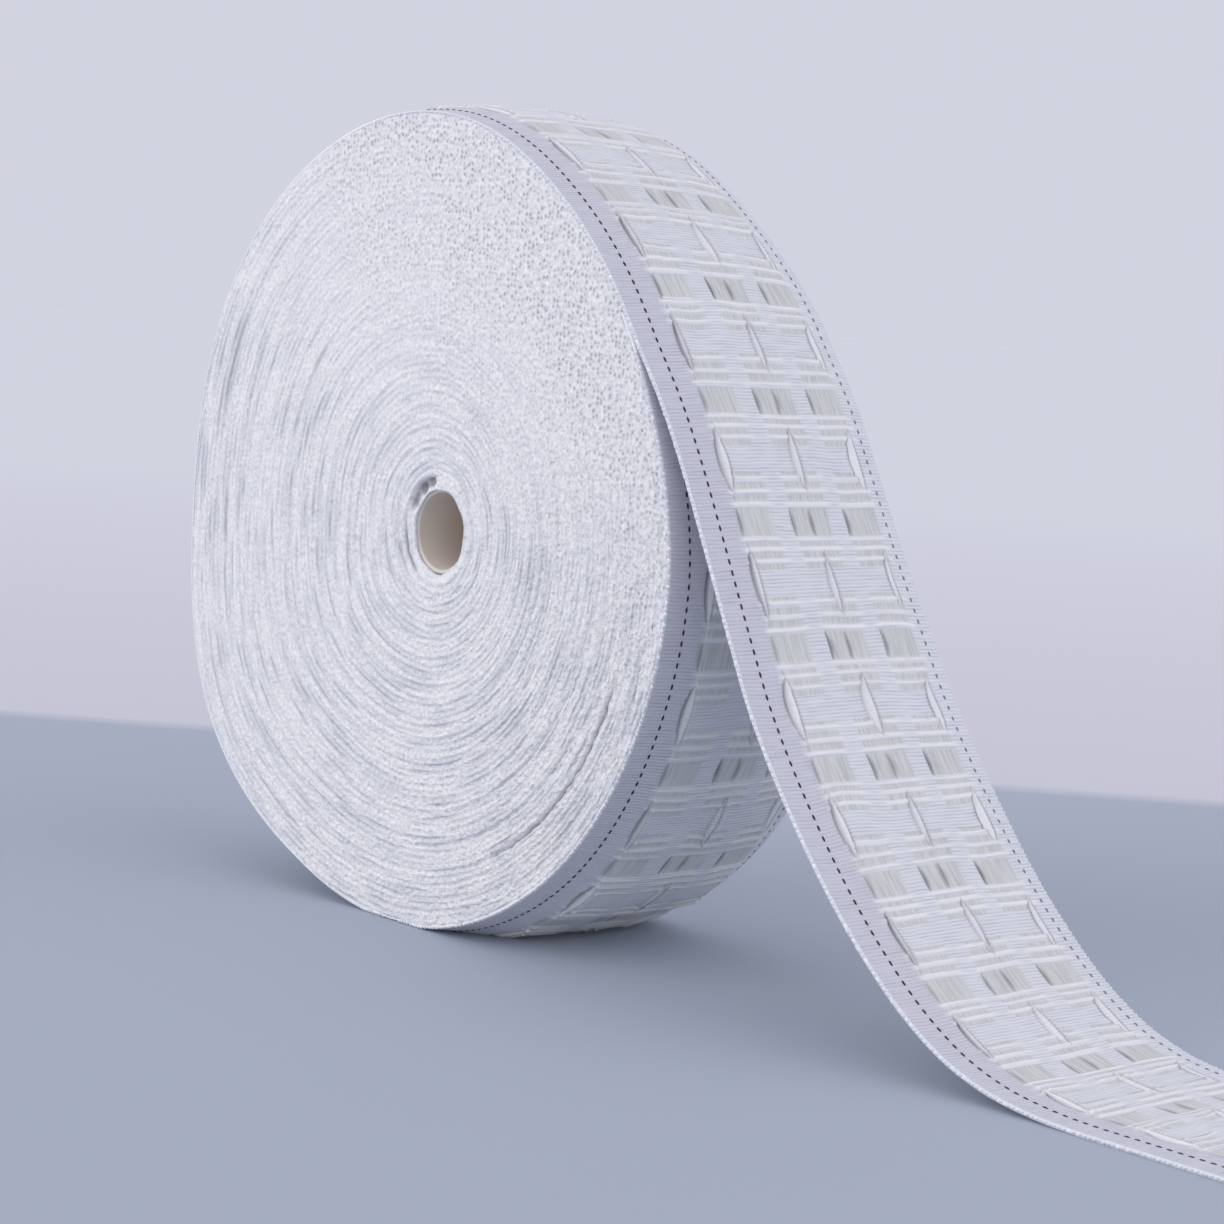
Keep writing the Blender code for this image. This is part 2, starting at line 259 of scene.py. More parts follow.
def weave(place, across):
    """The woven surface at places along the tape and mm across it: how far across it ends up beside a gaping
    slit, its height, and how far it is floating threads, painted seam shade, raised cord and slit."""
    row = np.clip(np.searchsorted(ROW_PLACES, place) - 1, 0, len(ROW_PLACES) - 2)
    repeat = (place - ROW_PLACES[row]) / (ROW_PLACES[row + 1] - ROW_PLACES[row])
    pocket = soft_box(repeat, 0.17, 0.83, 0.16)
    moved, painted_seam_shade, inner, lift = across + 0 * place, 0 * place, 0 * place, 0 * place
    raised = 0 * place
    for slit, line in enumerate(SLIT_LINES):
        # The borders bow apart, and the cloth up to SLIT_REACH from the slit moves with them.
        down = np.clip((repeat - SLIT_START) / (SLIT_END - SLIT_START), 0, 1)
        gape = np.sin(math.pi * down ** SLIT_SKEWS[row, slit])
        near = -SLIT_NEAR_BOWS[row, slit] * gape - 0.05
        far = SLIT_FAR_BOWS[row, slit] * gape + 0.05
        aside = across - line
        inside = np.clip((aside + SLIT_BASE) / (2 * SLIT_BASE), 0, 1)
        near_side = -SLIT_REACH + (aside + SLIT_REACH) * (near + SLIT_REACH) / (SLIT_REACH - SLIT_BASE)
        far_side = far + (aside - SLIT_BASE) * (SLIT_REACH - far) / (SLIT_REACH - SLIT_BASE)
        spread = np.where(aside < -SLIT_BASE, near_side,
                          np.where(aside > SLIT_BASE, far_side, near + inside * (far - near)))
        moved = np.where(np.abs(aside) < SLIT_REACH, line + spread, moved)
        from_near, from_far = moved - line - near, moved - line - far
        between = soft_step(from_near / 0.12) * soft_step(-from_far / 0.12) * (gape > 0)
        # Both lips roll up a little and drop at their very edge, over the second layer inside.
        open_share = np.clip(gape * 2.2, 0, 1)
        lip_near = np.exp(-((from_near + 0.75) / 0.6) ** 2) * (from_near < 0) * NEAR_LIPS[slit]
        lip_far = np.exp(-((from_far - 0.75) / 0.6) ** 2) * (from_far > 0) * FAR_LIPS[slit]
        lift = lift + 0.45 * (lip_near + lip_far) * open_share
        edge_drop = np.exp(-(from_near / 0.22) ** 2) + 0.5 * np.exp(-(from_far / 0.16) ** 2)
        lift = lift - 0.50 * edge_drop * open_share
        inner = np.maximum(inner, between * open_share)
        floor_height = -0.45 + 1.05 * soft_step(inside * 1.15) * SLIT_FLOORS[slit]
        raised = raised + floor_height * between
        # A dark line of painted shade lies along each border.
        on_lip = SHADES_ON_LIP[slit] * gape
        dark_near = np.exp(-((from_near - on_lip) / (0.16 + 0.50 * gape)) ** 2) * (1 - 0.45 * down)
        dark_far = 0.6 * np.exp(-(from_far / 0.22) ** 2) * (0.4 + 0.6 * down)
        painted_seam_shade = np.maximum(painted_seam_shade, np.maximum(dark_near, dark_far) * open_share)
    # Squares and strips of floating threads, and raised cords across the tape between them.
    share = moved * MM / TAPE_WIDTH
    from_square = np.minimum(repeat, 1 - repeat)
    squares = 1 - np.clip((from_square - SQUARE_HALF) / 0.008 + 0.5, 0, 1)
    strips = sum(soft_box(repeat, low, high, 0.008) for low, high in FLOAT_STRIPS)
    cords = sum(np.exp(-((repeat - middle) / CROSS_CORD_WIDTH) ** 2) * CORD_STRENGTHS[row, number]
                for number, middle in enumerate(CROSS_CORDS))
    in_columns = sum(soft_box(share, low, high, 0.008) for low, high in COLUMNS)
    bands = soft_box(moved, SLIT_LINES[0], SLIT_LINES[2], 0.3) * (1 - inner)
    floats = np.clip(squares + 0.9 * strips, 0, 1) * in_columns * (1 - inner)
    by_columns = sum(soft_box(share, low - 0.015, high + 0.015, 0.05) for low, high in COLUMNS)
    cord_run = soft_box(share, 0.165, 0.925, 0.02) * (0.3 + 0.7 * by_columns) * (1 - inner)
    cords = np.clip(cords * cord_run, 0, 1)
    # Each square's threads part along its seams, most at its middle, and painted shade darkens each seam.
    ahead = np.where(repeat > 0.5, repeat - 1, repeat)
    own_row = row + (repeat > 0.5)
    arch = np.clip(1 - (ahead / SQUARE_HALF) ** 2, 0, 1)
    square_seams = 0 * place
    for number, at in enumerate(SQUARE_SEAMS):
        aside = (share - at) * TAPE_WIDTH / MM - SEAM_BOWS[own_row, number] * arch
        drawn = np.exp(-(aside / (0.30 + 0.50 * arch)) ** 2) * (0.6 + 0.4 * arch)
        square_seams = np.maximum(square_seams, drawn * SEAM_DEPTHS[own_row, number])
    painted_seam_shade = np.clip(np.maximum(painted_seam_shade, square_seams * squares), 0, 1)
    height = 0.60 * pocket * bands + lift * pocket + raised * pocket
    height = height - 0.30 * floats * (1 - cords) + 0.45 * cords - 0.45 * square_seams * squares
    puffed = soft_box(share, 0.16, 0.93, 0.06) * (0.4 + 0.6 * pocket)
    puff_height = 0.16 + 0.10 * (place > ROW_PLACES[-5])
    height = height + puff_height * puffed * cloth_field(PUFFS, place, 8.5 * MM, across, 6.5)
    return moved, height * MM, floats * (1 - cords), painted_seam_shade, cords, inner


def crowded(low, high, count, crowds):
    """Places from low to high, closer together near each (place, width, crowding) of crowds."""
    fine = np.linspace(low, high, 6001)
    weight = 1 + sum(more * np.exp(-((fine - place) / width) ** 2) for place, width, more in crowds)
    total = np.cumsum(weight)
    return np.interp(np.linspace(total[0], total[-1], count), total, fine)


CORD_EDGES = [edge for strip in FLOAT_STRIPS for edge in strip] + [SQUARE_HALF, 1 - SQUARE_HALF]
BACK_POINTS = 8
EDGE_ROUNDING = 0.6
EDGE_WALL = 0.12


def places_along(start, end, each_row):
    """Places down the tape, crowded at the sides of the squares and strips, so that these come out crisp."""
    one_row = crowded(0, 1, each_row + 1, [(edge, 0.006, 2.2) for edge in CORD_EDGES])[:-1]
    pitch = np.diff(ROW_PLACES)
    places = (ROW_PLACES[:-1, None] + one_row[None] * pitch[:, None]).ravel()
    step = 0.3 * MM
    inner = places[(places > start + step) & (places < end - step)]
    return np.concatenate([[start], inner, [end]])


def woven_sheet(name, start, end, each_row, across_count):
    """A closed sheet of tape from start to end along it: a fine woven side, and a plainer back."""
    along = places_along(start, end, each_row)
    width = TAPE_WIDTH / MM
    crowds = [(line - SLIT_BASE, 0.35, 5.0) for line in SLIT_LINES]
    crowds += [(line + SLIT_BASE, 0.35, 5.0) for line in SLIT_LINES]
    crowds += [(share * width + 0.2, 0.8, 2.0) for share in (0.451, 0.727)]
    crowds += [(0, 0.5, 2.0), (width, 0.5, 2.0)]
    front = crowded(0, width, across_count, crowds)
    back = np.concatenate([[width - EDGE_WALL], np.linspace(width - 3, 3, BACK_POINTS), [EDGE_WALL]])
    ring_places = np.concatenate([front, back, front[:1]])
    is_back = np.concatenate([np.zeros(across_count, bool), np.ones(len(back), bool), [False]])
    sheet_mesh = bmesh.new()
    bmesh.ops.create_grid(sheet_mesh, x_segments=len(along) - 1, y_segments=len(ring_places) - 1, size=1)
    sheet_mesh.verts.ensure_lookup_table()
    grid = np.array([vertex.co for vertex in sheet_mesh.verts])
    column = np.rint((grid[:, 0] + 1) / 2 * (len(along) - 1)).astype(int)
    ring = np.rint((grid[:, 1] + 1) / 2 * (len(ring_places) - 1)).astype(int)
    place, across, behind = along[column], ring_places[ring], is_back[ring]
    moved, height, floats, painted_seam_shade, cords, inner = weave(place, across)
    moved = np.where(behind, across, moved)
    edge = np.minimum(moved, width - moved)
    rounding = 0.5 * TAPE_THICKNESS * np.clip(1 - edge / EDGE_ROUNDING, 0, 1) ** 2
    height = np.where(behind, -TAPE_THICKNESS, height - rounding)
    points = on_tape(bent_place(place, moved), moved / width, height)
    marks = sheet_mesh.verts.layers.float_color.new("marks")
    front_marks = np.stack([floats, painted_seam_shade, cords, inner], -1) * ~behind[:, None]
    for vertex, point, mark in zip(sheet_mesh.verts, points, front_marks):
        vertex.co = point
        vertex[marks] = mark
    chart = sheet_mesh.loops.layers.uv.new("along_and_across")
    spots = list(zip(place, moved * MM))
    for face in sheet_mesh.faces:
        for corner in face.loops:
            corner[chart].uv = spots[corner.vert.index]
    bmesh.ops.remove_doubles(sheet_mesh, verts=sheet_mesh.verts, dist=0.002 * MM)
    bmesh.ops.holes_fill(sheet_mesh, edges=[edge for edge in sheet_mesh.edges if edge.is_boundary], sides=0)
    bmesh.ops.recalc_face_normals(sheet_mesh, faces=sheet_mesh.faces)
    return finished(name, sheet_mesh)


def finished(name, mesh):
    """The mesh as a smooth object in the scene."""
    data = bpy.data.meshes.new(name)
    mesh.to_mesh(data)
    mesh.free()
    data.shade_smooth()
    piece = bpy.data.objects.new(name, data)
    bpy.context.scene.collection.objects.link(piece)
    return piece


def linear(hex_colour):
    """An sRGB hex colour as linear RGBA."""
    channels = [int(hex_colour[i:i + 2], 16) / 255 for i in (0, 2, 4)]
    return [c / 12.92 if c <= 0.04045 else ((c + 0.055) / 1.055) ** 2.4 for c in channels] + [1.0]


def add(finish, kind, settings=None, links=None):
    """A node in a material: settings are its own values or its inputs' values, links join its inputs."""
    node = finish.node_tree.nodes.new("ShaderNode" + kind)
    for key, value in (settings or {}).items():
        if isinstance(key, str) and hasattr(node, key):
            setattr(node, key, value)
        else:
            node.inputs[key].default_value = value
    for key, socket in (links or {}).items():
        finish.node_tree.links.new(socket, node.inputs[key])
    return node


def new_finish(name):
    finish = bpy.data.materials.new(name)
    finish.use_nodes = True
    return finish


# Polyester tape, woven and heat set: matte, with the faint sheen of filament yarn. Ribs of weft run across it
# 1.07 mm apart. The floats are loose warp yarns side by side, drawn 0.75 mm apart so that they show.
RIB_PITCH = 1.07 * MM
FLOAT_PITCH = 0.75 * MM
WHITE_YARN = "E3E5EA"
# The front band's colour: its tighter yarn, darkened with painted shade.
BAND_YARN_AND_SHADE = "D3D3DC"
# Painted shade along the slits' borders and the squares' seams.
SEAM_SHADE = "55555B"


def woven_polyester():
    """White ribs that come and go, with painted shade between them, greyer silky floats, bright cords,
    painted shade along slits and seams, and pale edges.
    """
    finish = new_finish("woven heat-set polyester")
    chart = add(finish, "UVMap", {"uv_map": "along_and_across"})
    marks = add(finish, "Attribute", {"attribute_name": "marks"})
    parts = add(finish, "SeparateXYZ", links={0: chart.outputs["UV"]})
    shares = add(finish, "SeparateColor", links={0: marks.outputs["Color"]})
    along, across = parts.outputs["X"], parts.outputs["Y"]
    floats, painted_seam_shade, cords = shares.outputs[0], shares.outputs[1], shares.outputs[2]

    wander = add(finish, "TexNoise", {"Scale": 160.0, "Detail": 2.0}, {"Vector": chart.outputs["UV"]})
    wavy = add(finish, "Math", {"operation": "MULTIPLY_ADD", 1: 0.35 * MM},
               {0: wander.outputs["Fac"], 2: along})
    rib_turn = add(finish, "Math", {"operation": "MULTIPLY", 1: 2 * math.pi / RIB_PITCH},
                   {0: wavy.outputs[0]})
    rib = add(finish, "Math", {"operation": "SINE"}, {0: rib_turn.outputs[0]})
    rib_half = add(finish, "Math", {"operation": "MULTIPLY_ADD", 1: 0.5, 2: 0.5}, {0: rib.outputs[0]})

    # Loose strands along the floats, and the fuzz of single threads all over.
    stretched = add(finish, "Mapping", {"Scale": (70, 1 / FLOAT_PITCH, 1)}, {"Vector": chart.outputs["UV"]})
    strands = add(finish, "TexNoise", {"Scale": 1.0, "Detail": 3.0, "Distortion": 0.4},
                  {"Vector": stretched.outputs[0]})
    threads = add(finish, "Mapping", {"Scale": (500, 2600, 1)}, {"Vector": chart.outputs["UV"]})
    fuzz = add(finish, "TexNoise", {"Scale": 1.0, "Detail": 2.0}, {"Vector": threads.outputs[0]})

    # Colours: the tighter band along the front edge is greyer, partly for its weave and partly as painted
    # shade, and painted shade lies along the ribs in patches.
    in_band = add(finish, "MapRange", {"From Min": 0.185 * TAPE_WIDTH, "From Max": 0.175 * TAPE_WIDTH},
                  {"Value": across})
    ground = add(finish, "MixRGB", {1: linear(WHITE_YARN), 2: linear(BAND_YARN_AND_SHADE)}, {0: in_band.outputs[0]})
    # Painted shade in the grooves between the ribs, stronger in patches.
    rib_patches = add(finish, "Mapping", {"Scale": (700, 120, 1)}, {"Vector": chart.outputs["UV"]})
    patchy = add(finish, "TexNoise", {"Scale": 1.0, "Detail": 2.0}, {"Vector": rib_patches.outputs[0]})
    rib_shade_strength = add(finish, "MapRange", {"From Min": 0.3, "From Max": 0.7, "To Min": 0.14, "To Max": 0.58},
                    {"Value": patchy.outputs["Fac"]})
    rib_line = add(finish, "MapRange", {"From Min": 0.55, "From Max": 0.0}, {"Value": rib_half.outputs[0]})
    rib_shade = add(finish, "Math", {"operation": "MULTIPLY"},
                    {0: rib_line.outputs[0], 1: rib_shade_strength.outputs[0]})
    rib_shaded = add(finish, "MixRGB", {2: linear("A9A8AE")}, {0: rib_shade.outputs[0], 1: ground.outputs[0]})
    strand_shade = add(finish, "MapRange", {"From Min": 0.35, "From Max": 0.6},
                       {"Value": strands.outputs["Fac"]})
    float_tint = add(finish, "MixRGB", {1: linear("C4C5C4"), 2: linear("DADBD8")},
                     {0: strand_shade.outputs[0]})
    with_floats = add(finish, "MixRGB", links={0: floats, 1: rib_shaded.outputs[0], 2: float_tint.outputs[0]})
    with_cords = add(finish, "MixRGB", {2: linear("FAF9F9")}, {0: cords, 1: with_floats.outputs[0]})
    with_slits = add(finish, "MixRGB", {2: linear("F2F2F4")},
                     {0: marks.outputs["Alpha"], 1: with_cords.outputs[0]})
    painted_seam_share = add(finish, "Math", {"operation": "MULTIPLY", 1: 0.85}, {0: painted_seam_shade})
    with_seam_shade = add(finish, "MixRGB", {2: linear(SEAM_SHADE)},
                 {0: painted_seam_share.outputs[0], 1: with_slits.outputs[0]})

    # The looped yarn along both edges is as pale as the wound turns.
    aside = add(finish, "Math", {"operation": "SUBTRACT", 1: TAPE_WIDTH / 2}, {0: across})
    from_middle = add(finish, "Math", {"operation": "ABSOLUTE"}, {0: aside.outputs[0]})
    at_edge = add(finish, "MapRange",
                  {"From Min": TAPE_WIDTH / 2 - 0.5 * MM, "From Max": TAPE_WIDTH / 2 - 0.2 * MM},
                  {"Value": from_middle.outputs[0]})
    colour = add(finish, "MixRGB", {2: linear("F8F8FA")}, {0: at_edge.outputs[0], 1: with_seam_shade.outputs[0]})

    # Relief: ribs where the cloth is plain, strands where it floats.
    plain = add(finish, "Math", {"operation": "SUBTRACT", 0: 1.0}, {1: floats})
    rib_size = add(finish, "MapRange", {"From Min": 0.3, "From Max": 0.7, "To Min": 0.25, "To Max": 1.0},
                   {"Value": patchy.outputs["Fac"]})
    plain_ribs = add(finish, "Math", {"operation": "MULTIPLY"},
                     {0: rib_size.outputs[0], 1: plain.outputs[0]})
    rib_height = add(finish, "Math", {"operation": "MULTIPLY"},
                     {0: rib_half.outputs[0], 1: plain_ribs.outputs[0]})
    strand_height = add(finish, "Math", {"operation": "MULTIPLY"}, {0: strands.outputs["Fac"], 1: floats})
    both = add(finish, "Math", {"operation": "MULTIPLY_ADD", 1: 1.3},
               {0: strand_height.outputs[0], 2: rib_height.outputs[0]})
    relief = add(finish, "Math", {"operation": "MULTIPLY_ADD", 1: 0.5},
                 {0: fuzz.outputs["Fac"], 2: both.outputs[0]})
    bump = add(finish, "Bump", {"Strength": 0.8, "Distance": 0.22 * MM}, {"Height": relief.outputs[0]})

    shader = finish.node_tree.nodes["Principled BSDF"]
    shader.inputs["Roughness"].default_value = 0.78
    shader.inputs["Sheen Weight"].default_value = 0.12
    shader.inputs["Sheen Roughness"].default_value = 0.5
    finish.node_tree.links.new(colour.outputs[0], shader.inputs["Base Color"])
    finish.node_tree.links.new(bump.outputs[0], shader.inputs["Normal"])
    return finish


WOVEN = woven_polyester()

# The drawn tape is split into two lengths at the top of the roll, so that neither mesh grows too large.
SPLIT_ANGLE = 104
SPLIT_PLACE = float(np.interp(-SPLIT_ANGLE, -ROLL_ANGLES, ROUTE[0, :len(ROLL_ANGLES)]))

loose_end = woven_sheet("loose_tape", SPLIT_PLACE, TAPE_END, 56, 114)
loose_end.data.materials.append(WOVEN)
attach(loose_end, "root")
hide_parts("loose_end")


# The outermost turn
# The rest of the same tape's last turn round the roll, from under the loose end, round the bottom and the
# back and up to the top. It is the same woven sheet, wound tight, and the roll stands on it.

outer_turn = woven_sheet("outer_turn", ROLL_START, SPLIT_PLACE, 42, 112)
outer_turn.data.materials.append(WOVEN)
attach(outer_turn, "root")
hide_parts("roll")


# The wound turns
# The tape's turns seen edge on, on both faces of the roll, drawn as 54 turns of looped selvedge. Each turn
# stands a little proud of the next or a little behind it, as a hand-steered winder leaves them.

# A turn's section in mm, from the valley before it on, and how deep the innermost edge lies. The bore ends
# inside the core's wall.
TURNS = 54
BORE = 12.2 * MM
CREST_DEPTHS = (0.2, 0.05, 0.0, 0.07)
INNER_EDGE_DEPTH = 0.5

# Where neighbouring turns have slipped apart: after which turn from the core, from and to which angle, over
# how many degrees the ends fade, how wide in quarter turns, and how deep in mm.
Groove = namedtuple("Groove", "turn start end fade rows depth")
GROOVES = (
    Groove(1, 70, 240, 25, 2.2, 0.6),
    Groove(1.75, 100, 156, 24, 2.8, 2.7),
    Groove(2.4, 170, 232, 30, 1.8, 1.7),
    Groove(3.3, 96, 136, 20, 1.4, 0.7),
    Groove(1, 245, 300, 20, 1.8, 1.0),
    Groove(4, 130, 215, 40, 1.8, 0.6),
    Groove(7, 200, 300, 50, 1.6, 0.4),
    Groove(15, 150, 260, 50, 1.6, 0.35),
    Groove(21, 320, 359, 30, 1.6, 0.5),
    Groove(25, 140, 190, 40, 1.6, 0.3),
    Groove(30, 130, 215, 50, 1.6, 0.35),
    Groove(33, 290, 350, 40, 1.6, 0.35),
    Groove(37, 315, 358, 30, 1.8, 0.5),
    Groove(42, 270, 330, 30, 2, 0.6),
    Groove(46, 285, 345, 30, 2.4, 1.1),
    Groove(48, 140, 235, 50, 1.8, 0.5),
    Groove(51, 300, 350, 40, 2, 0.6),
)


def wound_face(name, side, segments, seed):
    """One face's spiral of turns, as a sheet of ridges one turn wide. side is -1 in front, 1 at the back."""
    luck = np.random.default_rng(seed)
    rows = 4 * (TURNS - 1) + 2
    face_mesh = bmesh.new()
    bmesh.ops.create_grid(face_mesh, x_segments=segments, y_segments=rows, size=1)
    grid = np.array([vertex.co for vertex in face_mesh.verts])

    # Where each point lies: how far round its turn, and at which turn and quarter turn from the core.
    turned = (grid[:, 0] + 1) / 2
    ring = np.rint((grid[:, 1] + 1) / 2 * rows).astype(int)
    step = np.clip(ring - 1, 0, rows - 2)
    phase = step / 4 + 1 - turned
    angle = LEAVE_ANGLE + 360 * turned
    turn = np.radians(angle)

    # The turns run evenly from the bore to the roll's outline, and the last few bend in under the outermost.
    front, far, crown = outline_at(angle)
    outline = np.where(side < 0, front, far)
    rim = outline - step_depth(angle) - TAPE_THICKNESS * 0.9
    top_phase = TURNS - turned
    share = phase / TURNS
    plain = BORE + share * (outline - BORE)
    plain_rim = BORE + top_phase / TURNS * (outline - BORE)
    radius = plain + (rim - plain_rim) * (phase / top_phase) ** 12
    toward_low_right = np.clip(np.cos(np.radians(angle - 325)), 0, 1)
    lumpy = (1 + 1.1 * toward_low_right * np.clip(share * 1.7 - 0.4, 0, 1)) * np.clip(2 * share, 0.1, 1)
    to_top_right = np.clip(1.3 * np.cos(np.radians(angle - 72)), 0, 1) * np.clip(2.4 * share - 0.3, 0, 1)
    calm = 1 - 0.85 * to_top_right

    # The hole's mouth is a little out of round, and the tape's inner end lies close on the core all round.
    mouth = 0.05 - 0.25 * np.cos(2 * turn) - 0.35 * np.sin(turn) + 0.2 * np.sin(7 * turn)
    radius = radius + mouth * MM * np.exp(-phase / 1.5)
    first_turn = np.clip((step - 4 * turned) / 3, 0, 1)
    radius = (BORE + mouth * MM) * (1 - first_turn) + radius * first_turn
    long_luck = luck.normal(0, 1, (TURNS + 3, 14))
    table = luck.normal(0, 1, (TURNS + 3, 40))
    short_luck = luck.normal(0, 1, (TURNS + 3, segments))
    side_luck = luck.normal(0, 1, (TURNS + 3, segments // 2))

    def uneven(values, whole):
        spot = (angle / 360 % 1) * values.shape[1]
        low = np.floor(spot).astype(int)
        blend = soft_step(spot - low)
        first = values[whole, low % values.shape[1]]
        return first + blend * (values[whole, (low + 1) % values.shape[1]] - first)

    # How far each turn stands proud or lies deep, in mm, and the arcs where two turns have parted, which get
    # painted shade.
    turn_number = np.floor(phase + 1e-6).astype(int)
    within = step % 4
    below = np.maximum(turn_number - 1, 0)
    near_hole = np.exp(-phase / 3)
    long_share, table_share = 0.15 * calm, (0.11 + 0.22 * near_hole) * calm
    proud = long_share * uneven(long_luck, turn_number) + table_share * uneven(table, turn_number)
    last_proud = long_share * uneven(long_luck, below) + table_share * uneven(table, below)
    deep = np.clip(0.20 + 0.12 * lumpy * uneven(short_luck, turn_number), 0.0, 0.50)
    arcs = np.clip(uneven(np.roll(long_luck, 3, 1), turn_number) - 0.7, 0, 1.2) * calm ** 2
    deep = (deep + 0.15 * near_hole) * (0.5 + 0.5 * calm) + 0.35 * arcs
    proud = proud + 0.07 * lumpy * uneven(np.roll(short_luck, 9, 1), turn_number)
    settled = np.where((ring > 2) & (ring < rows - 1), 1, 0)
    radius = radius + 0.07 * MM * lumpy * settled * uneven(side_luck, turn_number)
    depth = np.where(within == 0, deep - 0.5 * (proud + last_proud), np.array(CREST_DEPTHS)[within] - proud)
    for groove in GROOVES:
        across_groove = np.clip(1 - np.abs(step + 4 - 4 * groove.turn) / groove.rows, 0, 1)
        along_groove = soft_box(angle % 360, groove.start, groove.end, groove.fade)
        depth = depth + groove.depth * across_groove * along_groove * (1 + 0.4 * uneven(table, turn_number))
    depth = INNER_EDGE_DEPTH + (depth - INNER_EDGE_DEPTH) * first_turn
    height = (TAPE_WIDTH / 2 + 0.1 * MM) - depth * MM
    height = np.where((ring == 0) | (ring == rows), TAPE_WIDTH / 2 - 6 * MM, height)
    points = np.stack([AXIS_X + radius * np.cos(turn), side * height,
                       np.maximum(AXIS_Z + radius * np.sin(turn), 0.3 * MM)], -1)
    marks = face_mesh.verts.layers.float_color.new("marks")
    for vertex, point, streak, calmness in zip(face_mesh.verts, points, arcs / 1.2 * (within == 0), calm):
        vertex.co = point
        vertex[marks] = (streak, calmness, 0, 1)
    chart = face_mesh.loops.layers.uv.new("round_and_out")
    face_mesh.verts.ensure_lookup_table()
    spots = list(zip(angle / 360, phase / 100))
    for face in face_mesh.faces:
        for corner in face.loops:
            corner[chart].uv = spots[corner.vert.index]
    bmesh.ops.remove_doubles(face_mesh, verts=face_mesh.verts, dist=0.01 * MM)
    bmesh.ops.recalc_face_normals(face_mesh, faces=face_mesh.faces)
    if sum(face.normal.y for face in face_mesh.faces) * side < 0:
        bmesh.ops.reverse_faces(face_mesh, faces=face_mesh.faces)
    return finished(name, face_mesh)


# The edge of the same polyester, where the weft turns back in small loops: matte white. Between the loops lie
# tiny soft pits, darkened with painted shade and plainest at the upper right, and the loops are lumpiest
# at the lower right.
PIT_PITCH = 1.75 * MM


